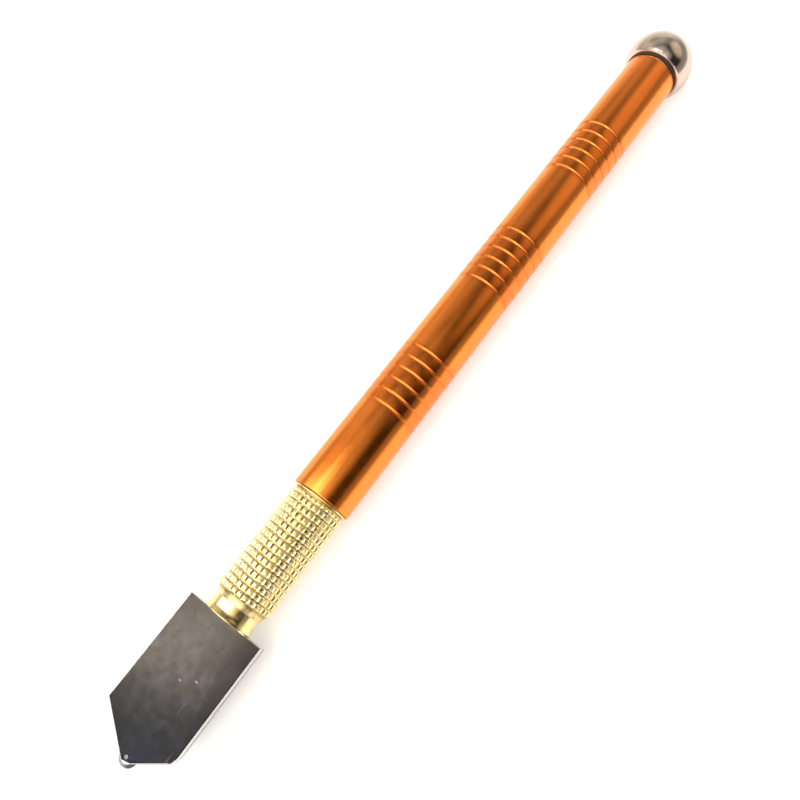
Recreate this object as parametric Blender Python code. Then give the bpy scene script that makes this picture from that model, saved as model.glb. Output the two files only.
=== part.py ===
"""Oil-feed glass cutter with a turned metal handle, a knurled brass collar and a flat steel head.

The tool lies along X with its cutting wheel towards -X and its filler cap towards +X.
Lengths inside the tool are measured in millimetres from the joint between handle and collar,
along the tool axis, and are turned into metres where a mesh is made.
"""

from math import atan2, cos, pi, sin, sqrt

import bmesh
import bpy
from mathutils import Matrix, Vector

MM = 0.001
GAP = 0.1            # clearance between pieces that rest on each other
SEGMENTS = 32        # sides of a full-size turned piece
SMALL_SEGMENTS = 24  # sides of a small turned piece

# handle tube and its finger grooves
HANDLE_LENGTH = 112.8
HANDLE_R_COLLAR = 5.75
HANDLE_R_CAP = 5.475
NIPPLE_BORE_R = 4.1
NIPPLE_BORE_DEPTH = 12.0
RESERVOIR_R = 4.3
GROOVE_GROUPS = 3
GROOVES_PER_GROUP = 6
GROOVE_FIRST = 19.35
GROOVE_PITCH = 2.507
GROOVE_GROUP_STEP = 30.02
GROOVE_HALF_WIDTH = 0.28
GROOVE_DEPTH = 0.2

# filler bush, seal and ball cap
BUSH_R = 4.2
BUSH_LENGTH = 9.0
BUSH_FLANGE_R = 5.3
BUSH_FLANGE = 0.3
BUSH_BORE_R = 3.05
SEAL_THICKNESS = 0.4
SEAL_R = 5.8
BALL_CENTRE = 116.8
BALL_R = 6.9
BALL_FLAT = HANDLE_LENGTH + BUSH_FLANGE + SEAL_THICKNESS + 3 * GAP
BALL_BORE_DEPTH = 2.9
STUD_R = 2.75
THREAD_ENGAGED = 4.5

# collar
COLLAR_R = 5.3
COLLAR_BACK = -0.5
COLLAR_FRONT = -22.2
COLLAR_CHAMFER = 1.2
COLLAR_FRONT_R = 4.78
MOUTH_R = 4.48
MOUTH_FLOOR = -19.0
SHANK_BORE_R = 3.28
CHAMBER_FLOOR = -10.95
JOINT_WASHER_R = 5.55

# nipple that joins collar and handle, and holds the oil valve
NIPPLE_R = 4.0
NIPPLE_FRONT = -4.0
NIPPLE_BACK = 11.0
VALVE_THROAT_R = 1.0
VALVE_CHAMBER_R = 2.2
SEAT_START = -0.9
SEAT_LENGTH = 1.5
BALL_VALVE_R = 1.45
BALL_VALVE_CENTRE = 0.251

# head holder, which slides and turns in the collar
HOLDER_FRONT = -24.9
NECK_R = 4.4
NECK_FLARE_R = 4.65
NECK_BACK = -20.2
SHANK_R = 3.2
SHANK_BACK = -9.9
OIL_BORE_R = 1.1
CLIP_FRONT = CHAMBER_FLOOR + GAP
CLIP_THICKNESS = 0.5
SHANK_SEAL_X = -15.3

# head plate and wheel
PLATE_TOP = -25.0
PLATE_HALF_WIDTH = 7.75
PLATE_THICKNESS = 2.45
PLATE_EDGE_BEVEL = 0.12
TANG_HALF_WIDTH = 3.0
TANG_BACK = -21.3
SHOULDER = -45.25
WHEEL_X = -49.95
WHEEL_Y = -1.0
WHEEL_R = 1.75
WHEEL_THICKNESS = 1.1
WHEEL_SLOT_R = 2.05
AXLE_R = 0.4
AXLE_BORE_R = 0.46
OIL_CHANNEL_R = 0.45

AXIS_HEIGHT = BALL_R
MID_LENGTH = (BALL_CENTRE + BALL_R + WHEEL_X - WHEEL_R) / 2

MATERIALS = {
    "anodised_aluminium": ((0.80, 0.27, 0.03), 0.28, 1.0),
    "brass": ((0.83, 0.63, 0.24), 0.25, 1.0),
    "head_steel": ((0.10, 0.10, 0.11), 0.38, 1.0),
    "carbide": ((0.35, 0.36, 0.38), 0.30, 1.0),
    "bright_steel": ((0.62, 0.62, 0.64), 0.22, 1.0),
    "nickel_plate": ((0.66, 0.62, 0.58), 0.12, 1.0),
    "spring_steel": ((0.45, 0.45, 0.47), 0.30, 1.0),
    "black_rubber": ((0.02, 0.02, 0.02), 0.60, 0.0),
    "felt": ((0.80, 0.77, 0.68), 0.95, 0.0),
}


def clear_scene():
    for old in list(bpy.data.objects):
        bpy.data.objects.remove(old, do_unlink=True)


def material(name):
    found = bpy.data.materials.get(name)
    if found:
        return found
    colour, roughness, metallic = MATERIALS[name]
    made = bpy.data.materials.new(name)
    made.use_nodes = True
    shader = made.node_tree.nodes["Principled BSDF"]
    shader.inputs["Base Color"].default_value = (*colour, 1.0)
    shader.inputs["Roughness"].default_value = roughness
    shader.inputs["Metallic"].default_value = metallic
    return made


def empty(name, parent=None, at=(0.0, 0.0, 0.0)):
    """An empty that carries the pieces of one moving group. at is in millimetres."""
    made = bpy.data.objects.new(name, None)
    made.empty_display_size = 0.01
    made.location = Vector(at) * MM
    made.parent = parent
    bpy.context.scene.collection.objects.link(made)
    return made


def place(name, data, finish, parent):
    made = bpy.data.objects.new(name, data)
    data.materials.append(material(finish))
    made.parent = parent
    bpy.context.scene.collection.objects.link(made)
    return made


def mesh_object(name, bm, finish, parent, sharp_angle=30):
    """Turns a bmesh in millimetres into an object in metres with outward faces."""
    bmesh.ops.remove_doubles(bm, verts=bm.verts, dist=1e-5)
    bmesh.ops.recalc_face_normals(bm, faces=bm.faces)
    bmesh.ops.scale(bm, vec=(MM, MM, MM), verts=bm.verts)
    mesh = bpy.data.meshes.new(name)
    bm.to_mesh(mesh)
    bm.free()
    mesh.shade_smooth()
    mesh.set_sharp_from_angle(angle=sharp_angle * pi / 180)
    return place(name, mesh, finish, parent)


def turned(name, outline, finish, parent, segments=SEGMENTS, along="X"):
    """Spins an outline of (position along the axis, radius) points into a closed solid.

    A hollow piece gives its outline as a closed loop; a solid one starts and ends at radius 0.
    """
    bm = bmesh.new()
    if along == "X":
        points = [bm.verts.new((x, 0.0, r)) for x, r in outline]
        axis = (1.0, 0.0, 0.0)
    else:
        points = [bm.verts.new((r, 0.0, x)) for x, r in outline]
        axis = (0.0, 0.0, 1.0)
    edges = [bm.edges.new(pair) for pair in zip(points, points[1:])]
    hollow = all(r > 0 for _, r in outline)
    if hollow:
        edges.append(bm.edges.new((points[-1], points[0])))
    bmesh.ops.spin(bm, geom=points + edges, cent=(0, 0, 0), axis=axis, dvec=(0, 0, 0),
                   angle=2 * pi, steps=segments, use_merge=True, use_normal_flip=False,
                   use_duplicate=False)
    return mesh_object(name, bm, finish, parent)


def ring_outline(front, back, inner, outer, chamfer=0.0):
    """A flat ring, with chamfered outer corners if a chamfer is given."""
    corners = [(front, outer), (back, outer)]
    if chamfer:
        corners = [(front, outer - chamfer), (front + chamfer, outer),
                   (back - chamfer, outer), (back, outer - chamfer)]
    return [(front, inner)] + corners + [(back, inner)]


def round_ring_outline(centre, ring_r, wire_r, sides=8):
    """The circular section of an O-ring."""
    steps = [2 * pi * (k + 0.5) / sides for k in range(sides)]
    return [(centre + wire_r * cos(a), ring_r + wire_r * sin(a)) for a in steps]


def box_mesh(low, high):
    bm = bmesh.new()
    bmesh.ops.create_cube(bm, size=1.0)
    size = [b - a for a, b in zip(low, high)]
    middle = [(a + b) / 2 for a, b in zip(low, high)]
    bmesh.ops.scale(bm, vec=size, verts=bm.verts)
    bmesh.ops.translate(bm, vec=middle, verts=bm.verts)
    return bm


def cylinder_mesh(radius, length, centre, along, segments=SMALL_SEGMENTS):
    bm = bmesh.new()
    bmesh.ops.create_cone(bm, cap_ends=True, segments=segments, radius1=radius, radius2=radius,
                          depth=length)
    if along == "X":
        bmesh.ops.rotate(bm, matrix=Matrix.Rotation(pi / 2, 3, "Y"), verts=bm.verts)
    bmesh.ops.translate(bm, vec=centre, verts=bm.verts)
    return bm


def cut(target, cutter_name, bm):
    """Subtracts a cutter, given in the target's own millimetres, from the target."""
    cutter = mesh_object(cutter_name, bm, "bright_steel", target.parent)
    cutter.hide_render = True
    cutter.display_type = "WIRE"
    modifier = target.modifiers.new(cutter_name, "BOOLEAN")
    modifier.operation = "DIFFERENCE"
    modifier.solver = "EXACT"
    modifier.object = cutter


def coil_spring(name, front, back, coil_r, wire_r, turns, parent, points_per_turn=16):
    """A compression spring of round wire between two end positions."""
    curve = bpy.data.curves.new(name, "CURVE")
    curve.dimensions = "3D"
    curve.bevel_depth = wire_r * MM
    curve.bevel_resolution = 1
    curve.use_fill_caps = True
    spline = curve.splines.new("POLY")
    count = int(turns * points_per_turn) + 1
    spline.points.add(count - 1)
    start, end = front + wire_r, back - wire_r
    for k, point in enumerate(spline.points):
        angle = 2 * pi * k / points_per_turn
        x = start + (end - start) * k / (count - 1)
        point.co = (x * MM, coil_r * sin(angle) * MM, coil_r * cos(angle) * MM, 1.0)
    return place(name, curve, "spring_steel", parent)


def handle_radius(x):
    return HANDLE_R_COLLAR + (HANDLE_R_CAP - HANDLE_R_COLLAR) * x / HANDLE_LENGTH


def groove_points():
    """The outer line of the tube through its groups of V-shaped finger grooves."""
    points = []
    for group in range(GROOVE_GROUPS):
        for k in range(GROOVES_PER_GROUP):
            x = GROOVE_FIRST + group * GROOVE_GROUP_STEP + k * GROOVE_PITCH
            for side in (-1, 0, 1):
                at = x + side * GROOVE_HALF_WIDTH
                depth = GROOVE_DEPTH if side == 0 else 0.0
                points.append((at, handle_radius(at) - depth))
    return points


def handle_tube(parent):
    edge = 0.25
    outer = [(0.0, HANDLE_R_COLLAR - edge), (edge, handle_radius(edge))]
    outer += groove_points()
    outer += [(HANDLE_LENGTH - edge, handle_radius(HANDLE_LENGTH - edge)),
              (HANDLE_LENGTH, HANDLE_R_CAP - edge)]
    inner = [(HANDLE_LENGTH, RESERVOIR_R), (NIPPLE_BORE_DEPTH, RESERVOIR_R),
             (NIPPLE_BORE_DEPTH, NIPPLE_BORE_R), (0.0, NIPPLE_BORE_R)]
    return turned("handle_tube", outer + inner, "anodised_aluminium", parent)


def filler_bush(parent):
    start = HANDLE_LENGTH + GAP - BUSH_LENGTH
    face = HANDLE_LENGTH + GAP
    front = face + BUSH_FLANGE
    mouth = 0.25
    outline = [(start, BUSH_BORE_R), (start, BUSH_R), (face, BUSH_R), (face, BUSH_FLANGE_R - 0.1),
               (face + 0.1, BUSH_FLANGE_R), (front - 0.15, BUSH_FLANGE_R),
               (front, BUSH_FLANGE_R - 0.15), (front, BUSH_BORE_R + mouth),
               (front - mouth, BUSH_BORE_R)]
    return turned("filler_bush", outline, "nickel_plate", parent)


def joint_washer(parent):
    outline = ring_outline(COLLAR_BACK + GAP, -GAP, NIPPLE_BORE_R, JOINT_WASHER_R, 0.08)
    return turned("joint_washer", outline, "brass", parent)


def collar(parent):
    outline = [(COLLAR_FRONT, MOUTH_R), (COLLAR_FRONT, COLLAR_FRONT_R),
               (COLLAR_FRONT + COLLAR_CHAMFER, COLLAR_R), (COLLAR_BACK - 0.2, COLLAR_R),
               (COLLAR_BACK, COLLAR_R - 0.2), (COLLAR_BACK, NIPPLE_BORE_R),
               (CHAMBER_FLOOR, NIPPLE_BORE_R), (CHAMBER_FLOOR, SHANK_BORE_R),
               (MOUTH_FLOOR, SHANK_BORE_R), (MOUTH_FLOOR, MOUTH_R)]
    return turned("collar", outline, "brass", parent)


def nipple(parent):
    """Threaded sleeve, drilled for the oil, with the cone that the valve ball closes."""
    seal_x, seal_half, seal_r = 9.0, 0.55, 3.15
    seat_end = SEAT_START + SEAT_LENGTH
    outline = [(NIPPLE_FRONT, VALVE_THROAT_R), (NIPPLE_FRONT, NIPPLE_R - 0.3),
               (NIPPLE_FRONT + 0.3, NIPPLE_R), (seal_x - seal_half, NIPPLE_R),
               (seal_x - seal_half, seal_r), (seal_x + seal_half, seal_r),
               (seal_x + seal_half, NIPPLE_R), (NIPPLE_BACK - 0.3, NIPPLE_R),
               (NIPPLE_BACK, NIPPLE_R - 0.3), (NIPPLE_BACK, VALVE_CHAMBER_R),
               (seat_end, VALVE_CHAMBER_R), (SEAT_START, VALVE_THROAT_R)]
    turned("nipple", outline, "brass", parent)
    ring = round_ring_outline(seal_x, 3.64, 0.4)
    turned("nipple_o_ring", ring, "black_rubber", parent, SMALL_SEGMENTS)


def valve_retainer(parent):
    outline = ring_outline(7.2, 7.8, 0.8, VALVE_CHAMBER_R - GAP)
    return turned("spring_retainer", outline, "bright_steel", parent, SMALL_SEGMENTS)


def oil_filter(parent):
    outline = [(8.0, 0.0), (8.0, 1.9), (8.2, 2.1), (10.6, 2.1), (10.8, 1.9), (10.8, 0.0)]
    return turned("oil_filter", outline, "felt", parent, SMALL_SEGMENTS)


def thrust_washer(parent):
    outline = ring_outline(SHANK_BACK + GAP, SHANK_BACK + GAP + 0.5, 1.3, 3.9)
    return turned("thrust_washer", outline, "bright_steel", parent, SMALL_SEGMENTS)


def valve_pin(parent):
    """The stem that lifts the valve ball when the head is pressed in."""
    flange = SHANK_BACK + GAP + 0.5 + GAP
    tip = BALL_VALVE_CENTRE - BALL_VALVE_R - GAP
    outline = [(flange - 2.0, 0.0), (flange - 2.0, 0.7), (flange, 0.7), (flange, 2.0),
               (flange + 0.5, 2.0), (flange + 0.5, 0.6), (tip - 0.15, 0.6), (tip, 0.4), (tip, 0.0)]
    return turned("valve_pin", outline, "brass", parent, SMALL_SEGMENTS)


def arc(centre, radius, first, last, steps):
    """Points (position, radius) on an arc between two angles in degrees; 0 and 180 are on the axis."""
    points = []
    for k in range(steps + 1):
        angle = first + (last - first) * k / steps
        off_axis = 0.0 if angle in (0, 180) else radius * sin(angle * pi / 180)
        points.append((centre + radius * cos(angle * pi / 180), off_axis))
    return points


def valve_ball(parent):
    return turned("valve_ball", arc(BALL_VALVE_CENTRE, BALL_VALVE_R, 180, 0, 10), "bright_steel",
                  parent, 16)


def head_holder(parent):
    """Brass neck and shank, bored for oil, with a pocket for the plate's tang."""
    clip_half = CLIP_THICKNESS / 2 + 0.05
    clip_x = CLIP_FRONT + CLIP_THICKNESS / 2
    seal_half = 0.5
    outline = [(HOLDER_FRONT, OIL_BORE_R), (HOLDER_FRONT, NECK_FLARE_R),
               (HOLDER_FRONT + 0.3, NECK_FLARE_R - 0.15), (HOLDER_FRONT + 0.9, NECK_R),
               (NECK_BACK - 0.2, NECK_R), (NECK_BACK, NECK_R - 0.2), (NECK_BACK, SHANK_R),
               (SHANK_SEAL_X - seal_half, SHANK_R), (SHANK_SEAL_X - seal_half, 2.3),
               (SHANK_SEAL_X + seal_half, 2.3), (SHANK_SEAL_X + seal_half, SHANK_R),
               (clip_x - clip_half, SHANK_R), (clip_x - clip_half, 2.6),
               (clip_x + clip_half, 2.6), (clip_x + clip_half, SHANK_R),
               (SHANK_BACK, SHANK_R), (SHANK_BACK, OIL_BORE_R)]
    holder = turned("head_holder", outline, "brass", parent)
    half_y = TANG_HALF_WIDTH + GAP
    half_z = PLATE_THICKNESS / 2 + GAP
    pocket = box_mesh((HOLDER_FRONT - 1.0, -half_y, -half_z), (TANG_BACK + 0.3, half_y, half_z))
    cut(holder, "tang_pocket_cutter", pocket)


def shank_clip(parent):
    """Open retaining ring that stops the head from leaving the collar."""
    outline = ring_outline(CLIP_FRONT, CLIP_FRONT + CLIP_THICKNESS, 2.7, 3.85)
    clip = turned("shank_clip", outline, "spring_steel", parent, SMALL_SEGMENTS)
    gap = box_mesh((CLIP_FRONT - 1.0, -0.9, 0.0), (CLIP_FRONT + 2.0, 0.9, 6.0))
    cut(clip, "clip_gap_cutter", gap)


def plate_outline():
    """Corners of the head plate, from the tang round its far side to the nose and back."""
    return [(TANG_BACK, TANG_HALF_WIDTH), (PLATE_TOP, TANG_HALF_WIDTH),
            (PLATE_TOP, PLATE_HALF_WIDTH), (SHOULDER, PLATE_HALF_WIDTH),
            (WHEEL_X - 0.85, WHEEL_Y + 0.4), (WHEEL_X - 0.45, WHEEL_Y - 1.2),
            (SHOULDER - 1.3, -PLATE_HALF_WIDTH + 0.4), (SHOULDER, -PLATE_HALF_WIDTH),
            (PLATE_TOP, -PLATE_HALF_WIDTH), (PLATE_TOP, -TANG_HALF_WIDTH),
            (TANG_BACK, -TANG_HALF_WIDTH)]


def head_plate(parent):
    bm = bmesh.new()
    half = PLATE_THICKNESS / 2
    face = bm.faces.new([bm.verts.new((x, y, -half)) for x, y in plate_outline()])
    raised = bmesh.ops.extrude_face_region(bm, geom=[face])
    top = [v for v in raised["geom"] if isinstance(v, bmesh.types.BMVert)]
    bmesh.ops.translate(bm, vec=(0, 0, PLATE_THICKNESS), verts=top)
    plate = mesh_object("head_plate", bm, "head_steel", parent)
    edges = plate.modifiers.new("worn_edges", "BEVEL")
    edges.width = PLATE_EDGE_BEVEL * MM
    edges.segments = 1
    edges.limit_method = "ANGLE"
    edges.angle_limit = 60 * pi / 180
    slot = cylinder_mesh(WHEEL_SLOT_R, WHEEL_THICKNESS + 2 * GAP, (WHEEL_X, WHEEL_Y, 0), "Z")
    cut(plate, "wheel_slot_cutter", slot)
    bore = cylinder_mesh(AXLE_BORE_R, 2 * PLATE_THICKNESS, (WHEEL_X, WHEEL_Y, 0), "Z")
    cut(plate, "axle_bore_cutter", bore)
    slot_top = WHEEL_X + sqrt(WHEEL_SLOT_R ** 2 - WHEEL_Y ** 2)
    length = TANG_BACK + 1.0 - (slot_top - 0.4)
    centre = (TANG_BACK + 1.0 - length / 2, 0, 0)
    cut(plate, "oil_channel_cutter", cylinder_mesh(OIL_CHANNEL_R, length, centre, "X", 8))


def wheel_axle(parent):
    half = PLATE_THICKNESS / 2 - 0.05
    outline = [(-half, 0.0), (-half, AXLE_R - 0.08), (-half + 0.08, AXLE_R),
               (half - 0.08, AXLE_R), (half, AXLE_R - 0.08), (half, 0.0)]
    axle = turned("wheel_axle", outline, "bright_steel", parent, SMALL_SEGMENTS, along="Z")
    axle.location = Vector((WHEEL_X, WHEEL_Y, 0.0)) * MM


def cutting_wheel(parent):
    """Carbide disc ground to an obtuse cutting edge."""
    half = WHEEL_THICKNESS / 2
    bevel = half * sin(20 * pi / 180) / cos(20 * pi / 180)
    outline = [(-half, AXLE_BORE_R), (-half, WHEEL_R - bevel), (0.0, WHEEL_R),
               (half, WHEEL_R - bevel), (half, AXLE_BORE_R)]
    return turned("cutting_wheel", outline, "carbide", parent, SMALL_SEGMENTS, along="Z")


def cap_seal(parent):
    front = HANDLE_LENGTH + GAP + BUSH_FLANGE + GAP
    outline = ring_outline(front, front + SEAL_THICKNESS, STUD_R + 0.3, SEAL_R, 0.15)
    return turned("cap_seal", outline, "black_rubber", parent, SMALL_SEGMENTS)


def cap_ball(parent):
    """Ball with a flat and a blind tapped bore for its stud."""
    rim_r = sqrt(BALL_R ** 2 - (BALL_CENTRE - BALL_FLAT) ** 2)
    rim_angle = 180 - atan2(rim_r, BALL_CENTRE - BALL_FLAT) * 180 / pi
    dome = arc(BALL_CENTRE, BALL_R, rim_angle, 90, 5) + arc(BALL_CENTRE, BALL_R, 90, 0, 8)[1:]
    bore_r, floor = STUD_R + GAP, BALL_FLAT + BALL_BORE_DEPTH
    outline = [(floor, 0.0), (floor, bore_r), (BALL_FLAT, bore_r), (BALL_FLAT, rim_r - 0.15)]
    return turned("cap_ball", outline + dome, "nickel_plate", parent)


def cap_stud(parent):
    end = HANDLE_LENGTH + GAP + BUSH_FLANGE - THREAD_ENGAGED
    back = BALL_FLAT + BALL_BORE_DEPTH - GAP
    outline = [(end, 0.0), (end, STUD_R - 0.4), (end + 0.4, STUD_R), (back, STUD_R), (back, 0.0)]
    return turned("cap_stud", outline, "bright_steel", parent, SMALL_SEGMENTS)


def main():
    clear_scene()
    tool = empty("tool_axis", at=(-MID_LENGTH, 0.0, AXIS_HEIGHT))

    handle_tube(tool)
    filler_bush(tool)
    joint_washer(tool)
    collar(tool)
    nipple(tool)
    valve_retainer(tool)
    oil_filter(tool)

    plunger = empty("plunger_slide", tool)
    thrust_washer(plunger)
    valve_pin(plunger)
    valve_ball(plunger)
    coil_spring("head_spring", SHANK_BACK + 0.8, NIPPLE_FRONT - 0.15, 3.0, 0.35, 4.0, plunger)
    coil_spring("valve_spring", 1.4, 7.0, 1.3, 0.2, 5.0, plunger, 12)

    head = empty("head_swivel", plunger)
    head_holder(head)
    shank_clip(head)
    seal = round_ring_outline(SHANK_SEAL_X, 2.78, 0.4)
    turned("shank_o_ring", seal, "black_rubber", head, SMALL_SEGMENTS)
    head_plate(head)
    wheel_axle(head)
    wheel = empty("wheel_spin", head, at=(WHEEL_X, WHEEL_Y, 0.0))
    cutting_wheel(wheel)

    lift = empty("cap_lift", tool)
    cap_seal(lift)
    cap = empty("cap_turn", lift)
    cap_ball(cap)
    cap_stud(cap)


main()
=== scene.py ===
"""Looks for the oil-feed glass cutter: fine meshes, procedural materials, light and camera.

The CAD frame gives every position. Lengths are in millimetres along the tool axis, counted from
the joint between handle and collar, and are turned into metres where a mesh is made.
"""

import random
from math import atan2, cos, degrees, floor, pi, radians, sin, sqrt

import bmesh
import bpy
from mathutils import Euler, Matrix, Vector


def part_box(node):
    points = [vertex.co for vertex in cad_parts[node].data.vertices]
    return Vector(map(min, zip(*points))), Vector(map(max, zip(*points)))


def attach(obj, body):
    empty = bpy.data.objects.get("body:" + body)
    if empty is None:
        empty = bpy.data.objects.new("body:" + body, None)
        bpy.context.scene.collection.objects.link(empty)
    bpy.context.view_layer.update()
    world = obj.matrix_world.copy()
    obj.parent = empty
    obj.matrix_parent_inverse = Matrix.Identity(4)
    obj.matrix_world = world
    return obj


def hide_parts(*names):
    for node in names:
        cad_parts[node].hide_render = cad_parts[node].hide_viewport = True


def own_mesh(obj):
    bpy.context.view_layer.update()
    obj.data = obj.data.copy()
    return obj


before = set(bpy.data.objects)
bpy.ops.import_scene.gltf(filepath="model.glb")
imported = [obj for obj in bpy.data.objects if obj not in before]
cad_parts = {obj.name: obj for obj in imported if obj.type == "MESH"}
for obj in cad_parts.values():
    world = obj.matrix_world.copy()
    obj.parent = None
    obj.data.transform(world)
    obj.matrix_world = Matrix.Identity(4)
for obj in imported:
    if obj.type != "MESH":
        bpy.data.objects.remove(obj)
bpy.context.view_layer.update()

MM = 0.001
handle_low, handle_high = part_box("handle_tube")
TOOL_ZERO = Vector((handle_low.x, 0.0, (handle_low.z + handle_high.z) / 2))

# camera, placed in millimetres from the joint between handle and collar
CAMERA_AT = Vector((-11.77, -40.85, 127.19))
CAMERA_TURN = (22.243, 5.3165, -53.4255)
LENS = 34.02

# handle
HANDLE_TAPER = 0.952  # radius at the cap as a share of the radius at the collar
HANDLE_BORE = 4.3
NIPPLE_BORE = 4.1
NIPPLE_BORE_END = 12.0
GROOVE_GROUPS = 3
GROOVES_PER_GROUP = 6
GROOVE_FIRST = 19.35
GROOVE_PITCH = 2.507
GROOVE_GROUP_STEP = 30.02
GROOVE_HALF_WIDTH = 0.26
GROOVE_DEPTH = 0.19
GRIP_MARGIN = 1.3
GRIP_END = 90.0

# knurled collar
COLLAR_MOUTH_R = 4.48
COLLAR_MOUTH_FLOOR = -19.0
COLLAR_LIP_R = 4.58
COLLAR_CHAMBER = -10.95
COLLAR_CHAMBER_R = 4.1
COLLAR_SHANK_R = 3.28
KNURL_PITCH = 1.30
KNURL_COLUMNS = 28
KNURL_DEPTH = 0.32
KNURL_FRONT = -20.95
KNURL_GROOVE_AT = -2.77
KNURL_SLOPE_ALONG = 0.30
KNURL_SLOPE_AROUND = 0.28
KNURL_AROUND_SHARE = 0.85
KNURL_CHAMFER = 0.36
KNURL_ROW = 0.085  # between the rings of the mesh
KNURL_STEPS = 12  # points of the mesh round one column
KNURL_UNEVEN = 0.07

# neck and shank; each groove is (centre, half width, radius of its floor)
NECK_R = 4.4
NECK_BACK = -20.2
SHANK_R = 3.2
OIL_R = 1.1
SHANK_GROOVES = ((-15.3, 0.5, 2.3), (-10.6, 0.3, 2.6))
TANG_POCKET = (3.1, 1.325, -21.0)  # half width, half height, floor

# head plate
PLATE_BACK = -25.0
PLATE_SHOULDER = -45.25
TANG_HALF = 3.0
PLATE_RIM = ((0.0, 0.15), (0.03, 0.07), (0.08, 0.02), (0.15, 0.0))  # (height, inset) of its wear
PAINTED_SHADOW_FOOT = 0.60  # height of the painted contact shadow along the foot of the plate's -Y side
SLOT_HALF = 0.65
SLOT_R = 2.05
OIL_CHANNEL = (-48.5, -20.0, 0.45)  # front, back, radius

# cutting wheel
AXLE_BORE_R = 0.46
WHEEL_BEVEL = 0.62
WHEEL_EDGE = 0.02

# cap's thread
THREAD_PITCH = 0.75
THREAD_ROW = 0.09  # between the rings of the mesh
THREAD_FADE = 0.4
BUSH_BORE = 3.05
BUSH_R = 4.2
BUSH_THREAD = 0.3
STUD_R = 2.9
STUD_THREAD = 0.45
BALL_BORE = 2.85

# how much closer the cap's pieces sit than their CAD solids, which keep clearances
FLANGE_SEAT = 0.38
FLANGE_FACE = 0.20
SEAL_SEAT = 0.27
SEAL_SHRINK = 0.18
CAP_FLAT = 0.45
CAP_SEAT = 0.42

# segments round a turned piece, and in a spring
FINE = 192
SMALL = 96
ROUGH = 24
SPRING_STEPS = 48
WIRE_SIDES = 14

# floor, in metres; it glows near the tool, and painted shade makes its far part and wall darker on
# the -Y side
FLOOR_PROFILE = ((0.0, 0.0), (0.2, 0.0), (0.9, 0.0), (1.15, 0.02), (1.30, 0.08), (1.36, 0.18),
                 (1.38, 0.56))  # (radius, height)
FLOOR_SIDES = 96
FLOOR_COLOUR = (0.80, 0.80, 0.80)
FLOOR_NEAR = 0.13
FLOOR_FAR = 0.45
FLOOR_GLOW = 0.44
DIM_NEAR = 0.30
DIM_FAR = 0.90
DIM_SIDE = 400.0  # millimetres to each side of the tool over which the darkening sets in
DIM_COLOUR = (0.26, 0.257, 0.253)

SKY_BASE = (0.02, 0.02, 0.02)


# ---------------------------------------------------------------- meshes

def span(node):
    """A node's box as (low, high) in tool millimetres."""
    low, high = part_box(node)
    return (low - TOOL_ZERO) / MM, (high - TOOL_ZERO) / MM


def rounded(corners, closed=True, steps=5):
    """Points of an outline whose corners are (x, y, fillet), each fillet a small curve."""
    points = []
    count = len(corners)
    for k, (x, r, fillet) in enumerate(corners):
        here = Vector((x, r))
        at_end = not closed and k in (0, count - 1)
        if at_end or not fillet:
            points.append(here)
            continue
        before = Vector(corners[k - 1][:2]) - here
        after = Vector(corners[(k + 1) % count][:2]) - here
        reach = min(fillet, 0.45 * before.length, 0.45 * after.length)
        start = here + before.normalized() * reach
        end = here + after.normalized() * reach
        for s in range(steps + 1):
            t = s / steps
            points.append(start * (1 - t) ** 2 + here * 2 * t * (1 - t) + end * t ** 2)
    return [(p.x, p.y) for p in points]


def add_piece(name, mesh, material, body, nodes, at=None):
    """Links a mesh made in millimetres, places it, ties it to its body and hides the CAD nodes it
    stands for.
    """
    piece = bpy.data.objects.new(name, mesh)
    mesh.materials.append(material)
    bpy.context.scene.collection.objects.link(piece)
    piece.location = at if at is not None else TOOL_ZERO
    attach(piece, body)
    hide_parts(*nodes)
    return piece


def finish_mesh(name, bm, sharp_angle=35):
    bmesh.ops.recalc_face_normals(bm, faces=bm.faces)
    bmesh.ops.scale(bm, vec=(MM, MM, MM), verts=bm.verts)
    mesh = bpy.data.meshes.new(name)
    bm.to_mesh(mesh)
    bm.free()
    mesh.shade_smooth()
    mesh.set_sharp_from_angle(angle=radians(sharp_angle))
    return mesh


def turned_bmesh(outline, segments=FINE, along="X", relief=None):
    """Turns an outline of (position, radius) points round the axis.

    relief(position, angle, radius) gives how far a point sinks below the outline. That depth in
    millimetres is kept in the cavity attribute, which the brass reads.
    """
    bm = bmesh.new()
    cavity = bm.verts.layers.float.new("cavity")
    rings = []
    for x, r in outline:
        if r <= 0:
            centre = (x, 0, 0) if along == "X" else (0, 0, x)
            rings.append([bm.verts.new(centre)])
            continue
        ring = []
        for k in range(segments):
            angle = 2 * pi * k / segments
            sink = relief(x, angle, r) if relief else 0.0
            out = r - sink
            side, up = -out * sin(angle), out * cos(angle)
            vert = bm.verts.new((x, side, up) if along == "X" else (side, up, x))
            vert[cavity] = sink
            ring.append(vert)
        rings.append(ring)
    pairs = list(zip(rings, rings[1:]))
    if len(rings[0]) > 1:
        pairs.append((rings[-1], rings[0]))
    for a, b in pairs:
        for k in range(segments):
            corners = [a[k % len(a)], a[(k + 1) % len(a)], b[(k + 1) % len(b)], b[k % len(b)]]
            unique = list(dict.fromkeys(corners))
            bm.faces.new(unique)
    return bm


def turned(name, outline, segments=FINE, along="X", relief=None, sharp_angle=35):
    return finish_mesh(name, turned_bmesh(outline, segments, along, relief), sharp_angle)


def arc(centre, radius, first, last, steps):
    """Points (position, radius) on an arc between two angles in degrees; 0 is on the axis."""
    points = []
    for k in range(steps + 1):
        angle = first + (last - first) * k / steps
        off_axis = 0.0 if angle in (0, 180) else radius * sin(radians(angle))
        points.append((centre + radius * cos(radians(angle)), off_axis))
    return points


def wave(position):
    """0 at whole numbers and 1 halfway between them."""
    share = position - floor(position)
    return 1 - abs(2 * share - 1)


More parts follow.
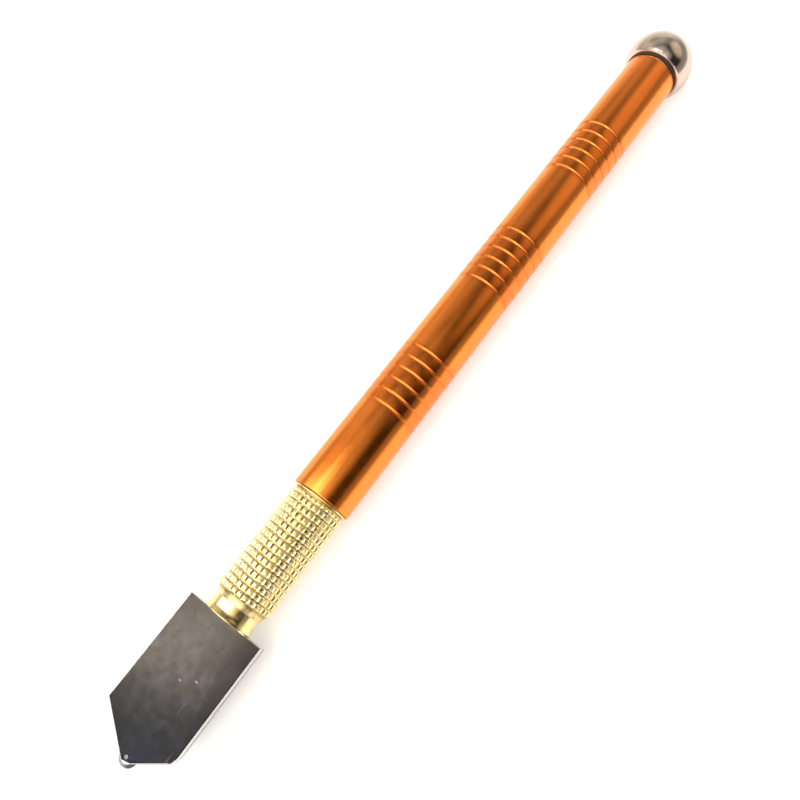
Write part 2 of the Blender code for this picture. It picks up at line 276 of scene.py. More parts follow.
def cut_mesh(mesh, cutters):
    """Subtracts cutter meshes, made in the same metres, and returns the new mesh."""
    body = bpy.data.objects.new("cut_body", mesh)
    bpy.context.scene.collection.objects.link(body)
    helpers = [body]
    for k, cutter in enumerate(cutters):
        tool = bpy.data.objects.new(f"cutter_{k}", cutter)
        bpy.context.scene.collection.objects.link(tool)
        helpers.append(tool)
        modifier = body.modifiers.new(f"cut_{k}", "BOOLEAN")
        modifier.operation = "DIFFERENCE"
        modifier.solver = "EXACT"
        modifier.object = tool
    bpy.context.view_layer.update()
    evaluated = body.evaluated_get(bpy.context.evaluated_depsgraph_get())
    result = bpy.data.meshes.new_from_object(evaluated)
    result.name = mesh.name
    for helper in helpers:
        bpy.data.objects.remove(helper)
    result.set_sharp_from_angle(angle=radians(35))
    return result


def rod(name, first, last, radius, segments=SMALL, along="Z"):
    """A plain cylinder between two positions, used as a cutter."""
    outline = [(first, 0), (first, radius), (last, radius), (last, 0)]
    return turned(name, outline, segments, along)


def box_mesh(name, low, high):
    bm = bmesh.new()
    bmesh.ops.create_cube(bm, size=1.0)
    bmesh.ops.scale(bm, vec=[b - a for a, b in zip(low, high)], verts=bm.verts)
    bmesh.ops.translate(bm, vec=[(a + b) / 2 for a, b in zip(low, high)], verts=bm.verts)
    return finish_mesh(name, bm)


# ---------------------------------------------------------------- materials

class Shader:
    """A small helper that builds one Principled material from procedural nodes."""

    def __init__(self, name, colour, roughness, metallic=1.0):
        self.material = bpy.data.materials.new(name)
        self.material.use_nodes = True
        self.tree = self.material.node_tree
        self.principled = self.tree.nodes["Principled BSDF"]
        self.principled.inputs["Base Color"].default_value = (*colour, 1.0)
        self.principled.inputs["Roughness"].default_value = roughness
        self.principled.inputs["Metallic"].default_value = metallic
        self.colour = None
        self.base = colour
        self.bump = None
        self.coordinates = self.node("ShaderNodeTexCoord").outputs["Object"]

    def node(self, kind, **settings):
        made = self.tree.nodes.new(kind)
        for key, value in settings.items():
            setattr(made, key, value)
        return made

    def link(self, output, target):
        self.tree.links.new(output, target)

    def stretched(self, scale, turn=(0, 0, 0)):
        mapping = self.node("ShaderNodeMapping")
        mapping.inputs["Scale"].default_value = scale
        mapping.inputs["Rotation"].default_value = [radians(a) for a in turn]
        self.link(self.coordinates, mapping.inputs["Vector"])
        return mapping.outputs["Vector"]

    def noise(self, scale, detail=4.0, rough=0.55, stretch=(1, 1, 1), turn=(0, 0, 0), distort=0.0):
        """Noise with scale in features per millimetre."""
        noise = self.node("ShaderNodeTexNoise")
        noise.inputs["Scale"].default_value = scale / MM
        noise.inputs["Detail"].default_value = detail
        noise.inputs["Roughness"].default_value = rough
        noise.inputs["Distortion"].default_value = distort
        self.link(self.stretched(stretch, turn), noise.inputs["Vector"])
        return noise.outputs["Fac"]

    def cells(self, scale, stretch=(1, 1, 1), turn=(0, 0, 0)):
        """Distance to the nearest of a scatter of points."""
        cells = self.node("ShaderNodeTexVoronoi")
        cells.inputs["Scale"].default_value = scale / MM
        self.link(self.stretched(stretch, turn), cells.inputs["Vector"])
        return cells.outputs["Distance"]

    def ramp(self, value, low, high, to_low=0.0, to_high=1.0):
        """Maps value from low..high to to_low..to_high, smoothly and clamped."""
        mapped = self.node("ShaderNodeMapRange", interpolation_type="SMOOTHSTEP")
        mapped.inputs["From Min"].default_value = low
        mapped.inputs["From Max"].default_value = high
        mapped.inputs["To Min"].default_value = to_low
        mapped.inputs["To Max"].default_value = to_high
        self.link(value, mapped.inputs["Value"])
        return mapped.outputs["Result"]

    def maths(self, operation, a, b):
        made = self.node("ShaderNodeMath", operation=operation)
        for socket, value in zip(made.inputs, (a, b)):
            if isinstance(value, (int, float)):
                socket.default_value = value
            else:
                self.link(value, socket)
        return made.outputs["Value"]

    def attribute(self, name):
        return self.node("ShaderNodeAttribute", attribute_name=name).outputs["Fac"]

    def place(self, axis):
        """The object coordinate along an axis, in millimetres."""
        split = self.node("ShaderNodeSeparateXYZ")
        self.link(self.coordinates, split.inputs["Vector"])
        return self.maths("DIVIDE", split.outputs[axis], MM)

    def tint(self, factor, colour):
        """Mixes a colour over what is there, by factor."""
        mix = self.node("ShaderNodeMix", data_type="RGBA")
        self.link(factor, mix.inputs["Factor"])
        if self.colour is None:
            mix.inputs["A"].default_value = (*self.base, 1.0)
        else:
            self.link(self.colour, mix.inputs["A"])
        mix.inputs["B"].default_value = (*colour, 1.0)
        self.colour = mix.outputs["Result"]

    def vary_roughness(self, value, low, high):
        self.link(self.ramp(value, 0.25, 0.75, low, high), self.principled.inputs["Roughness"])

    def bumpy(self, value, strength, depth):
        """Adds a bump on top of the earlier ones: its strength, and its depth in millimetres."""
        bump = self.node("ShaderNodeBump")
        bump.inputs["Strength"].default_value = strength
        bump.inputs["Distance"].default_value = depth * MM
        self.link(value, bump.inputs["Height"])
        if self.bump is not None:
            self.link(self.bump, bump.inputs["Normal"])
        self.bump = bump.outputs["Normal"]

    def done(self):
        if self.colour is not None:
            self.link(self.colour, self.principled.inputs["Base Color"])
        if self.bump is not None:
            self.link(self.bump, self.principled.inputs["Normal"])
        return self.material


TURNING = (1.0, 0.02, 0.02)  # stretches noise into fine rings round the tool


def anodised_orange():
    """Dyed and anodised aluminium: fine turning marks, a clear oxide skin and a grimy grip."""
    s = Shader("anodised_orange", (0.92, 0.24, 0.026), 0.22)
    s.principled.inputs["Specular Tint"].default_value = (1.0, 0.82, 0.66, 1.0)
    s.principled.inputs["Coat Weight"].default_value = 0.30
    s.principled.inputs["Coat Roughness"].default_value = 0.14
    s.principled.inputs["Coat IOR"].default_value = 1.6
    mottle = s.noise(0.05, 5, 0.6)
    s.tint(s.ramp(mottle, 0.35, 0.65, 0.0, 0.5), (0.93, 0.275, 0.036))
    streaks = s.noise(0.5, 3, 0.5, (0.06, 1, 1))
    s.tint(s.ramp(streaks, 0.45, 0.7, 0.0, 0.25), (0.78, 0.18, 0.018))
    past_first = s.maths("SUBTRACT", s.place("X"), GROOVE_FIRST - GRIP_MARGIN)
    in_group = s.maths("MODULO", past_first, GROOVE_GROUP_STEP)
    group_length = GROOVE_PITCH * (GROOVES_PER_GROUP - 1) + 2 * GRIP_MARGIN
    grip = s.maths("MULTIPLY", s.ramp(in_group, 0.0, 1.2),
                   s.ramp(in_group, group_length, group_length - 1.2))
    grip = s.maths("MULTIPLY", grip, s.ramp(past_first, GRIP_END, GRIP_END - 1.0))
    grime = s.ramp(s.noise(0.35, 5, 0.6), 0.2, 0.6, 0.35, 0.75)
    s.tint(s.maths("MULTIPLY", grip, grime), (0.72, 0.17, 0.017))
    specks = s.cells(0.5)
    s.tint(s.ramp(specks, 0.07, 0.03, 0.0, 0.35), (0.45, 0.09, 0.010))
    s.bumpy(s.noise(9.0, 2, 0.5, TURNING), 0.15, 0.004)
    s.bumpy(s.noise(1.4, 4, 0.6), 0.02, 0.006)
    s.vary_roughness(s.noise(0.25, 5, 0.65), 0.19, 0.26)
    return s.done()


def brass(name, colour, roughness):
    """Bright turned brass with dull, darker hollows and faint tarnish."""
    s = Shader(name, colour, roughness)
    s.tint(s.ramp(s.noise(0.22, 5, 0.6), 0.42, 0.72, 0.0, 0.40), (0.78, 0.58, 0.23))
    s.tint(s.ramp(s.attribute("cavity"), 0.14, 0.34, 0.0, 0.80), (0.36, 0.24, 0.07))
    s.tint(s.ramp(s.noise(2.5, 3, 0.6), 0.62, 0.78, 0.0, 0.4), (0.55, 0.36, 0.12))
    s.bumpy(s.noise(8.0, 2, 0.5, TURNING), 0.2, 0.004)
    s.bumpy(s.noise(3.0, 4, 0.6), 0.3, 0.006)
    s.vary_roughness(s.noise(0.8, 5, 0.65), roughness * 0.75, roughness * 1.5)
    return s.done()


def head_steel():
    """Dark ground steel with grime, scratches and nicks, and a painted reflection: lighter and
    straw-coloured towards the neck and the +Y side, darker and bluish at the nose.
    """
    s = Shader("head_steel", (0.016, 0.016, 0.017), 0.30)
    along = s.place("X")
    across = s.place("Y")
    # painted reflection: lighter and straw-coloured towards the neck and the +Y side, darker and
    # bluish at the nose, with a noisy edge
    painted_sheen_slant = s.maths("ADD", along, s.maths("MULTIPLY", across, 0.6))
    painted_sheen_wobble = s.maths("MULTIPLY", s.noise(0.10, 4, 0.6, distort=0.4), 9.0)
    painted_sheen_slant = s.maths("ADD", painted_sheen_slant, s.maths("SUBTRACT", painted_sheen_wobble, 4.5))
    s.tint(s.ramp(painted_sheen_slant, -47.0, -19.0), (0.105, 0.090, 0.078))
    s.tint(s.ramp(painted_sheen_slant, -47.0, -54.0), (0.018, 0.018, 0.028))
    grime = s.noise(0.45, 6, 0.65, distort=0.6)
    s.tint(s.ramp(grime, 0.50, 0.78, 0.0, 0.35), (0.012, 0.012, 0.013))
    scratches = s.noise(2.4, 2, 0.4, (0.05, 1.0, 1.0), (0, 0, 8))
    s.tint(s.ramp(scratches, 0.68, 0.78, 0.0, 0.35), (0.10, 0.098, 0.095))
    nicks = s.cells(0.28, (1.0, 0.45, 1.0), (0, 0, 35))
    s.tint(s.ramp(nicks, 0.085, 0.05, 0.0, 0.9), (0.30, 0.28, 0.27))
    s.bumpy(nicks, 0.25, 0.05)
    s.bumpy(scratches, 0.30, 0.006)
    s.bumpy(s.noise(5.0, 4, 0.7), 0.30, 0.005)
    s.vary_roughness(s.noise(0.6, 5, 0.6), 0.26, 0.40)
    return s.done()


def ground_edge():
    """The plate's ground sides and worn rims, bright with dark specks."""
    s = Shader("ground_edge", (0.62, 0.60, 0.585), 0.22)
    s.tint(s.ramp(s.noise(1.1, 5, 0.7, (0.3, 1, 1)), 0.54, 0.70, 0.0, 0.6), (0.26, 0.25, 0.24))
    s.tint(s.ramp(s.noise(3.5, 3, 0.7), 0.60, 0.72, 0.0, 0.8), (0.07, 0.065, 0.06))
    s.bumpy(s.noise(2.0, 4, 0.7, (0.3, 1, 1)), 0.4, 0.02)
    s.bumpy(s.noise(4.0, 3, 0.6, (0.08, 1, 1)), 0.35, 0.008)
    s.vary_roughness(s.noise(0.9, 5, 0.6), 0.16, 0.34)
    return s.done()


def polished_nickel():
    """Nickel plate with faint handling marks."""
    s = Shader("polished_nickel", (0.66, 0.565, 0.49), 0.15)
    s.principled.inputs["Specular Tint"].default_value = (0.78, 0.76, 0.72, 1.0)
    s.tint(s.ramp(s.noise(0.12, 4, 0.6), 0.4, 0.7, 0.0, 0.5), (0.58, 0.47, 0.40))
    s.bumpy(s.noise(0.5, 4, 0.6), 0.15, 0.02)
    s.vary_roughness(s.noise(0.3, 5, 0.7), 0.12, 0.20)
    return s.done()


def plain_metal(name, colour, roughness, stretch=(1, 1, 1)):
    """Small steel parts with drawn or turned marks."""
    s = Shader(name, colour, roughness)
    darker = tuple(c * 0.6 for c in colour)
    s.tint(s.ramp(s.noise(0.9, 5, 0.6), 0.4, 0.75, 0.0, 0.6), darker)
    s.bumpy(s.noise(6.0, 3, 0.6, stretch), 0.3, 0.005)
    s.vary_roughness(s.noise(0.7, 4, 0.6), roughness * 0.7, roughness * 1.4)
    return s.done()


def black_rubber():
    s = Shader("black_rubber", (0.018, 0.018, 0.018), 0.55, 0.0)
    s.tint(s.ramp(s.noise(1.5, 5, 0.7), 0.5, 0.8, 0.0, 0.6), (0.05, 0.048, 0.045))
    s.bumpy(s.noise(5.0, 4, 0.6), 0.4, 0.01)
    s.vary_roughness(s.noise(1.0, 4, 0.6), 0.45, 0.7)
    return s.done()


def pressed_felt():
    s = Shader("pressed_felt", (0.78, 0.74, 0.62), 0.95, 0.0)
    s.tint(s.ramp(s.noise(2.0, 6, 0.7), 0.4, 0.7, 0.0, 0.7), (0.60, 0.52, 0.36))
    s.bumpy(s.noise(7.0, 6, 0.8), 0.8, 0.08)
    s.vary_roughness(s.noise(3.0, 3, 0.6), 0.88, 1.0)
    return s.done()


# ---------------------------------------------------------------- pieces

def handle_radius(x, length, front_r):
    """The tapered handle's outer radius at a position."""
    return front_r * (1 - (1 - HANDLE_TAPER) * x / length)


def make_handle(material):
    high = span("handle_tube")[1]
    length, front_r = high.x, high.z
    corners = [(0.0, NIPPLE_BORE, 0), (0.0, front_r, 0.22)]
    for group in range(GROOVE_GROUPS):
        for k in range(GROOVES_PER_GROUP):
            x = GROOVE_FIRST + group * GROOVE_GROUP_STEP + k * GROOVE_PITCH
            r = handle_radius(x, length, front_r)
            corners += [(x - GROOVE_HALF_WIDTH, r, 0.07), (x, r - GROOVE_DEPTH, 0.10),
                        (x + GROOVE_HALF_WIDTH, r, 0.07)]
    end_r = handle_radius(length, length, front_r)
    corners += [(length, end_r, 0.3), (length, HANDLE_BORE, 0.1), (NIPPLE_BORE_END, HANDLE_BORE, 0),
                (NIPPLE_BORE_END, NIPPLE_BORE, 0)]
    mesh = turned("handle", rounded(corners), FINE, sharp_angle=50)
    add_piece("handle", mesh, material, "handle", ["handle_tube"])


def knurl_relief(front, back, radius):
    """The depth of a square knurl: ring grooves crossed by shallower grooves along the tool."""
    bumps = random.Random(7)
    rows = int((back - front) / KNURL_PITCH) + 3
    heights = [[bumps.uniform(0.0, KNURL_UNEVEN) for _ in range(KNURL_COLUMNS)]
               for _ in range(rows)]
    width = 2 * pi * radius / KNURL_COLUMNS

    def relief(x, angle, r):
        if r < radius:
            return 0.0
        row = (x - KNURL_GROOVE_AT) / KNURL_PITCH
        column = angle / (2 * pi) * KNURL_COLUMNS
        along = wave(row) * KNURL_PITCH / 2
        around = wave(column) * width / 2
        rise_along = min(along / KNURL_SLOPE_ALONG, 1.0)
        rise_around = min(around / KNURL_SLOPE_AROUND, 1.0)
        rise = min(rise_along, 1 - KNURL_AROUND_SHARE * (1 - rise_around))
        height = heights[int(floor(row)) % rows][int(floor(column)) % KNURL_COLUMNS]
        chamfer = KNURL_CHAMFER - 0.8 * min(x - front, back - x)
        return max((1 - rise) * KNURL_DEPTH + height * rise, chamfer, 0.0)

    return relief


def make_collar(material):
    low, high = span("collar")
    radius, front, back = high.z, low.x, high.x
    knurl_back = back - 0.05
    rows = int((knurl_back - KNURL_FRONT) / KNURL_ROW)
    outline = [(front, COLLAR_MOUTH_R), (front, COLLAR_LIP_R), (front + 0.06, COLLAR_LIP_R + 0.06)]
    outline += [(KNURL_FRONT + (knurl_back - KNURL_FRONT) * k / rows, radius)
                for k in range(rows + 1)]
    outline += [(back, radius - 0.35), (back, COLLAR_CHAMBER_R),
                (COLLAR_CHAMBER, COLLAR_CHAMBER_R), (COLLAR_CHAMBER, COLLAR_SHANK_R),
                (COLLAR_MOUTH_FLOOR, COLLAR_SHANK_R), (COLLAR_MOUTH_FLOOR, COLLAR_MOUTH_R)]
    relief = knurl_relief(KNURL_FRONT, knurl_back, radius)
    segments = KNURL_COLUMNS * KNURL_STEPS
    mesh = turned("knurled_collar", outline, segments, relief=relief, sharp_angle=70)
    add_piece("knurled_collar", mesh, material, "handle", ["collar"])


def make_joint_washer(material):
    low, high = span("joint_washer")
    corners = [(low.x, NIPPLE_BORE, 0), (low.x, high.z, 0.12), (high.x, high.z, 0.12),
               (high.x, NIPPLE_BORE, 0)]
    mesh = turned("washer", rounded(corners), FINE)
    add_piece("washer", mesh, material, "handle", ["joint_washer"])


def make_holder(material):
    """Neck and shank in one piece, with the pocket for the plate's tang."""
    low, high = span("head_holder")
    front, back, flare = low.x, high.x, high.z
    corners = [(front, OIL_R, 0), (front, flare, 0.12), (front + 0.35, flare - 0.06, 0.2),
               (front + 1.0, NECK_R, 0.6), (NECK_BACK, NECK_R, 0.15), (NECK_BACK, SHANK_R, 0.0)]
    for centre, half, floor_r in SHANK_GROOVES:
        corners += [(centre - half, SHANK_R, 0.04), (centre - half, floor_r, 0.04),
                    (centre + half, floor_r, 0.04), (centre + half, SHANK_R, 0.04)]
    corners += [(back, SHANK_R, 0.12), (back, OIL_R, 0.05)]
    solid = turned("neck", rounded(corners), FINE)
    half_y, half_z, floor_x = TANG_POCKET
    pocket = box_mesh("pocket", (front - 1, -half_y, -half_z), (floor_x, half_y, half_z))
    mesh = cut_mesh(solid, [pocket])
    add_piece("neck", mesh, material, "head", ["head_holder"])


def inset(corners, distance):
    """Moves every edge of an outline inwards; corners run anticlockwise seen from above."""
    moved = []
    count = len(corners)
    for k, (x, y, fillet) in enumerate(corners):
        here = Vector((x, y))
        before = (here - Vector(corners[k - 1][:2])).normalized()
        after = (Vector(corners[(k + 1) % count][:2]) - here).normalized()
        inward = Vector((-before.y, before.x)) + Vector((-after.y, after.x))
        share = distance / (1 + before.dot(after))
        spot = here + inward * share
        moved.append((spot.x, spot.y, max(fillet - distance, 0.03) if fillet else 0))
    return moved


def lofted(name, corners, levels):
    """A plate whose levels are (height, inset) from bottom to top; its sides use material 1."""
    bm = bmesh.new()
    rings = []
    for z, distance in levels:
        outline = rounded(inset(corners, distance))
        rings.append([bm.verts.new((x, y, z)) for x, y in outline])
    for a, b in zip(rings, rings[1:]):
        for k in range(len(a)):
            m = (k + 1) % len(a)
            side = bm.faces.new((a[k], a[m], b[m], b[k]))
            side.material_index = 1
    bm.faces.new(list(reversed(rings[0])))
    bm.faces.new(rings[-1])
    return finish_mesh(name, bm)


def plate_corners(high, wheel):
    """Corners of the head plate with their fillets, anticlockwise from the tang."""
    half, tang, top, shoulder = high.y, TANG_HALF, PLATE_BACK, PLATE_SHOULDER
    nose_left = (wheel.x - 0.85, wheel.y + 0.4, 0.25)
    nose_right = (wheel.x - 0.45, wheel.y - 1.2, 0.3)
    return [(high.x, tang, 0.1), (top, tang, 0), (top, half, 0.16), (shoulder, half, 0.25),
            nose_left, nose_right, (shoulder - 1.3, -half + 0.4, 0.3), (shoulder, -half, 0.25),
            (top, -half, 0.16), (top, -tang, 0), (high.x, -tang, 0.1)]


def make_plate(material, edge_material):
    """The head plate, slotted for the wheel; its -Y rims get the dark material of its faces as
    painted shade.
    """
    low, high = span("head_plate")
    wheel = wheel_centre()
    levels = [(low.z + height, distance) for height, distance in PLATE_RIM]
    levels += [(low.z + high.z - z, distance) for z, distance in reversed(levels)]
    levels.insert(len(PLATE_RIM), (low.z + PAINTED_SHADOW_FOOT, 0.0))
    solid = lofted("head", plate_corners(high, wheel), levels)
    slot = rod("slot", -SLOT_HALF, SLOT_HALF, SLOT_R)
    bore = rod("bore", -3, 3, AXLE_BORE_R)
    for cutter in (slot, bore):
        cutter.transform(Matrix.Translation(wheel * MM))
    front, back, radius = OIL_CHANNEL
    channel = rod("channel", front, back, radius, ROUGH, "X")
    mesh = cut_mesh(solid, [slot, bore, channel])
    # painted shade: the top rim and the foot of the -Y side take the dark face material, the foot
    # as a painted contact shadow
    upper_rim = high.z - PLATE_RIM[-1][0] - 0.01
    for face in mesh.polygons:
        z = face.center.z / MM
        in_painted_shade = z > upper_rim or z < low.z + PAINTED_SHADOW_FOOT
        if in_painted_shade and face.normal.y < -0.3:
            face.material_index = 0
    add_piece("head", mesh, material, "head", ["head_plate"])
    mesh.materials.append(edge_material)


def wheel_centre():
    low, high = span("cutting_wheel")
    return (low + high) / 2


def make_axle(material):
    low, high = span("wheel_axle")
    end, r = (high.z - low.z) / 2, (high.x - low.x) / 2
    corners = [(-end, 0, 0), (-end, r, 0.08), (end, r, 0.08), (end, 0, 0)]
    mesh = turned("axle", rounded(corners, False), SMALL, "Z")
    add_piece("axle", mesh, material, "head", ["wheel_axle"],
              TOOL_ZERO + wheel_centre() * MM)


def make_wheel(material):
    """Hub faces, a ground V edge and a bore."""
    low, high = span("cutting_wheel")
    half, r = (high.z - low.z) / 2, (high.x - low.x) / 2
    corners = [(-half, AXLE_BORE_R, 0.04), (-half, r - WHEEL_BEVEL, 0.05), (-WHEEL_EDGE, r, 0),
               (WHEEL_EDGE, r, 0), (half, r - WHEEL_BEVEL, 0.05), (half, AXLE_BORE_R, 0.04)]
    mesh = turned("wheel", rounded(corners), SMALL, "Z", sharp_angle=20)
    add_piece("wheel", mesh, material, "wheel", ["cutting_wheel"],
              TOOL_ZERO + wheel_centre() * MM)


def thread_relief(first, last, depth, inward):
    """A right-hand thread between two positions that fades out at its ends."""
    def relief(x, angle, radius):
        if not first < x < last:
            return 0.0
        fade = min(1.0, (x - first) / THREAD_FADE, (last - x) / THREAD_FADE)
        crest = wave(x / THREAD_PITCH - angle / (2 * pi) + 0.5)
        return depth * fade * (1 - crest) * (1 if inward else -1)
    return relief


def make_bush(material):
    low, high = span("filler_bush")
    front, seat, back, flange = low.x, high.x - FLANGE_SEAT, high.x - FLANGE_FACE, high.z
    rows = int((back - front - 0.6) / THREAD_ROW)
    corners = [(front, BUSH_BORE + 0.3, 0), (front, BUSH_R - 0.15, 0), (front + 0.3, BUSH_R, 0),
               (seat, BUSH_R, 0), (seat, flange, 0.04), (back, flange, 0.08),
               (back, BUSH_BORE + 0.35, 0)]
    outline = rounded(corners, False)
    outline += [(back - 0.3 - THREAD_ROW * k, BUSH_BORE) for k in range(rows)]
    thread = thread_relief(front + 0.3, back - 0.35, BUSH_THREAD, False)

    def bore_only(x, angle, radius):
        return thread(x, angle, radius) if radius == BUSH_BORE else 0.0

    mesh = turned("bush", outline, SMALL, relief=bore_only)
    add_piece("bush", mesh, material, "handle", ["filler_bush"])


def make_seal(material):
    low, high = span("cap_seal")
    front, back = low.x - SEAL_SEAT, span("cap_ball")[0].x - CAP_FLAT
    rim = high.z - SEAL_SHRINK
    corners = [(front, BUSH_BORE, 0.1), (front, rim, 0.14), (back, rim, 0.14),
               (back, BUSH_BORE, 0.1)]
    mesh = turned("seal", rounded(corners), FINE)
    add_piece("seal", mesh, material, "seal", ["cap_seal"])


def make_ball(material):
    low, high = span("cap_ball")
    r = high.z
    centre = high.x - r - CAP_SEAT
    flat = low.x - CAP_FLAT
    edge = sqrt(r * r - (centre - flat) ** 2)
    floor_x = span("cap_stud")[1].x + 0.1
    last = 180 - 1.5 - degrees(atan2(edge, centre - flat))
    ball = arc(centre, r, 0, last, 64)
    corners = [ball[-1] + (0,), (flat, edge - 0.15, 0.1), (flat, BALL_BORE, 0.1),
               (floor_x, BALL_BORE, 0), (floor_x, 0, 0)]
    outline = ball + rounded(corners, False)
    mesh = turned("ball", outline, FINE)
    add_piece("ball", mesh, material, "cap", ["cap_ball"])


def make_stud(material):
    low, high = span("cap_stud")
    front, back, r = low.x, high.x, STUD_R
    rows = int((back - front - 0.8) / THREAD_ROW)
    outline = [(front, 0), (front, r - 0.55), (front + 0.4, r - 0.3)]
    outline += [(front + 0.5 + THREAD_ROW * k, r) for k in range(rows)]
    outline += [(back - 0.2, r - 0.3), (back, r - 0.5), (back, 0)]
    thread = thread_relief(front - 2, back + 2, STUD_THREAD, True)

    def on_body(x, angle, radius):
        return thread(x, angle, radius) if radius == STUD_R else 0.0

    mesh = turned("stud", outline, SMALL, relief=on_body)
    add_piece("stud", mesh, material, "cap", ["cap_stud"])


def make_spring(name, node, material, turns, wire):
    """A coil of round wire that fills the box of its CAD node."""
    low, high = span(node)
    coil_r = high.z - wire
    start, end = low.x + wire, high.x - wire
    bm = bmesh.new()
    rings = []
    count = int(turns * SPRING_STEPS) + 1
    for k in range(count):
        angle = 2 * pi * k / SPRING_STEPS
        outward = Vector((0.0, sin(angle), cos(angle)))
        centre = outward * coil_r + Vector((start + (end - start) * k / (count - 1), 0.0, 0.0))
        ring = []
        for side in range(WIRE_SIDES):
            around = 2 * pi * side / WIRE_SIDES
            offset = outward * (wire * cos(around)) + Vector((wire * sin(around), 0.0, 0.0))
            ring.append(bm.verts.new(centre + offset))
        rings.append(ring)
    for a, b in zip(rings, rings[1:]):
        for side in range(WIRE_SIDES):
            after = (side + 1) % WIRE_SIDES
            bm.faces.new((a[side], a[after], b[after], b[side]))
    bm.faces.new(rings[0])
    bm.faces.new(list(reversed(rings[-1])))
    piece = add_piece(name, finish_mesh(name, bm), material, "plunger", [node])
    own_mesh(piece)


# ---------------------------------------------------------------- stage, light and camera

def make_floor():
    """A pale disc that sweeps up to a low wall far from the tool, brightest round the tool, with
    painted shade far out on its -Y side.
    """
    bm = bmesh.new()
    rings = []
    for r, z in FLOOR_PROFILE:
        count = 1 if r == 0 else FLOOR_SIDES
        angles = [2 * pi * k / count for k in range(count)]
        rings.append([bm.verts.new((r * cos(angle), r * sin(angle), z)) for angle in angles])
    for a, b in zip(rings, rings[1:]):
        for k in range(FLOOR_SIDES):
            m = k + 1
            corners = [a[k % len(a)], a[m % len(a)], b[m % len(b)], b[k]]
            bm.faces.new(list(dict.fromkeys(corners)))
    bmesh.ops.recalc_face_normals(bm, faces=bm.faces)
    mesh = bpy.data.meshes.new("floor")
    bm.to_mesh(mesh)
    bm.free()
    mesh.shade_smooth()
    floor_piece = bpy.data.objects.new("floor", mesh)
    bpy.context.scene.collection.objects.link(floor_piece)
    s = Shader("floor_paper", FLOOR_COLOUR, 0.9, 0.0)
    s.principled.inputs["Specular IOR Level"].default_value = 0.1
    s.principled.inputs["Emission Color"].default_value = (1.0, 0.99, 0.98, 1.0)
    distance = s.node("ShaderNodeVectorMath", operation="LENGTH")
    s.link(s.coordinates, distance.inputs[0])
    glow = s.ramp(distance.outputs["Value"], FLOOR_NEAR, FLOOR_FAR, FLOOR_GLOW, 0.0)
    s.link(glow, s.principled.inputs["Emission Strength"])
    # painted shade: darker far from the tool, towards the -Y side
    dim = s.maths("MULTIPLY", s.ramp(distance.outputs["Value"], DIM_NEAR, DIM_FAR),
                  s.ramp(s.place("Y"), DIM_SIDE, -DIM_SIDE))
    s.tint(dim, DIM_COLOUR)
    s.bumpy(s.noise(0.5, 3, 0.5), 0.05, 0.02)
    mesh.materials.append(s.done())


def towards(turn, height):
    """A direction from its turn, from +Y towards +X, and its height above the floor."""
    turn, height = radians(turn), radians(height)
    return Vector((sin(turn) * cos(height), cos(turn) * cos(height), sin(height)))


def warm(strength, tint=1.0):
    """A slightly warm white of that strength."""
    return strength, strength * (1 - 0.06 * tint), strength * (1 - 0.13 * tint)


# each lobe of light in the room: direction, inner and outer angle of its soft edge, colour
SKY_LOBES = [
    (towards(0, 90), 5, 28, warm(0.40)),
    (towards(30, 62), 5, 34, warm(0.20)),
    (towards(240, 62), 5, 28, warm(1.40, 2.0)),
    (towards(300, 62), 5, 28, warm(0.70, 0.5)),
    (towards(0, 35), 5, 30, warm(0.50, 2.0)),
    (towards(45, 35), 5, 30, warm(0.37)),
    (towards(85, 35), 5, 30, warm(0.30)),
    (towards(122, 34), 5, 30, warm(0.78, 3.0)),
    (towards(225, 35), 5, 30, warm(1.40, 2.0)),
    (towards(268, 38), 5, 30, warm(2.20, 0.5)),
    (towards(306, 30), 5, 24, warm(2.40, 0.5)),
    (towards(22, 6), 5, 30, warm(0.80, 3.0)),
    (towards(67, 6), 5, 30, warm(0.60, 2.0)),
    (towards(247, 6), 5, 30, warm(0.28)),
    (towards(255, 70), 8, 12, warm(3.4, 0.3)),
    (towards(300, 80), 8, 12, warm(3.4, 0.3)),
    (towards(338, 66), 10, 15, warm(4.2, 0.3)),
    (towards(346, 50), 8, 12, warm(3.4, 0.3)),
    (towards(350, 34), 8, 12, warm(3.4, 0.3)),
    (towards(351, 18), 8, 12, warm(3.4, 0.3)),
    (towards(175, 68), 3, 18, warm(0.30)),
]


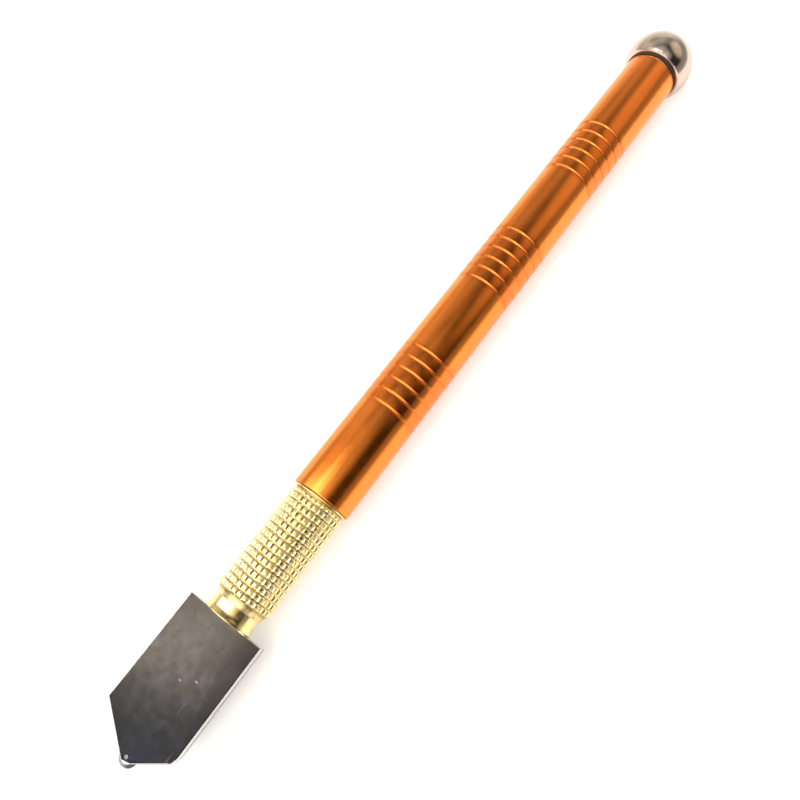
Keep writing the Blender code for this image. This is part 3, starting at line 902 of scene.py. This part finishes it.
def make_sky():
    """The room's light: soft lobes added up over a dim base."""
    world = bpy.data.worlds.new("room")
    bpy.context.scene.world = world
    world.use_nodes = True
    nodes, links = world.node_tree.nodes, world.node_tree.links
    direction = nodes.new("ShaderNodeTexCoord").outputs["Generated"]
    total = None
    for heading, inner, outer, light in SKY_LOBES:
        dot = nodes.new("ShaderNodeVectorMath")
        dot.operation = "DOT_PRODUCT"
        dot.inputs[1].default_value = heading
        links.new(direction, dot.inputs[0])
        edge = nodes.new("ShaderNodeMapRange")
        edge.interpolation_type = "SMOOTHSTEP"
        edge.inputs["From Min"].default_value = cos(radians(outer))
        edge.inputs["From Max"].default_value = cos(radians(inner))
        links.new(dot.outputs["Value"], edge.inputs["Value"])
        lobe = nodes.new("ShaderNodeMix")
        lobe.data_type = "RGBA"
        lobe.blend_type = "ADD"
        links.new(edge.outputs["Result"], lobe.inputs["Factor"])
        if total is None:
            lobe.inputs["A"].default_value = (*SKY_BASE, 1.0)
        else:
            links.new(total, lobe.inputs["A"])
        lobe.inputs["B"].default_value = (*light, 1.0)
        total = lobe.outputs["Result"]
    links.new(total, nodes["Background"].inputs["Color"])


def make_camera():
    data = bpy.data.cameras.new("camera")
    data.lens = LENS
    data.clip_start, data.clip_end = 0.01, 20
    camera = bpy.data.objects.new("camera", data)
    camera.location = TOOL_ZERO + CAMERA_AT * MM
    camera.rotation_euler = Euler([radians(a) for a in CAMERA_TURN])
    bpy.context.scene.collection.objects.link(camera)
    bpy.context.scene.camera = camera
    bpy.context.scene.view_settings.view_transform = "Standard"


def paint_nodes(material, *nodes):
    """Gives the CAD nodes that stay visible a procedural material on their object slots."""
    for name in nodes:
        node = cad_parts[name]
        if node.material_slots:
            node.material_slots[0].link = "OBJECT"
            node.material_slots[0].material = material
        else:
            node.data.materials.append(material)


make_camera()
make_floor()
make_sky()

BRASS = brass("turned_brass", (0.88, 0.71, 0.33), 0.20)
# a lighter copy of the turned brass: painted light, standing in for the brighter light on the
# knurled collar
KNURLED = brass("knurled_brass", (0.93, 0.78, 0.41), 0.24)
BRIGHT = plain_metal("bright_steel", (0.62, 0.62, 0.64), 0.22, TURNING)
NICKEL = polished_nickel()
SPRING = plain_metal("spring_wire", (0.45, 0.45, 0.47), 0.3)
RUBBER = black_rubber()

make_handle(anodised_orange())
make_collar(KNURLED)
make_joint_washer(BRASS)
make_holder(BRASS)
make_plate(head_steel(), ground_edge())
make_axle(plain_metal("axle_steel", (0.13, 0.13, 0.135), 0.34))
make_wheel(plain_metal("ground_carbide", (0.35, 0.36, 0.38), 0.25))
make_bush(NICKEL)
make_seal(RUBBER)
make_ball(NICKEL)
make_stud(BRIGHT)
make_spring("return_spring", "head_spring", SPRING, 4.0, 0.35)
make_spring("oil_valve_spring", "valve_spring", SPRING, 5.0, 0.2)

paint_nodes(BRASS, "nipple", "valve_pin")
paint_nodes(RUBBER, "nipple_o_ring", "shank_o_ring")
paint_nodes(BRIGHT, "spring_retainer", "thrust_washer", "valve_ball")
paint_nodes(SPRING, "shank_clip")
paint_nodes(pressed_felt(), "oil_filter")
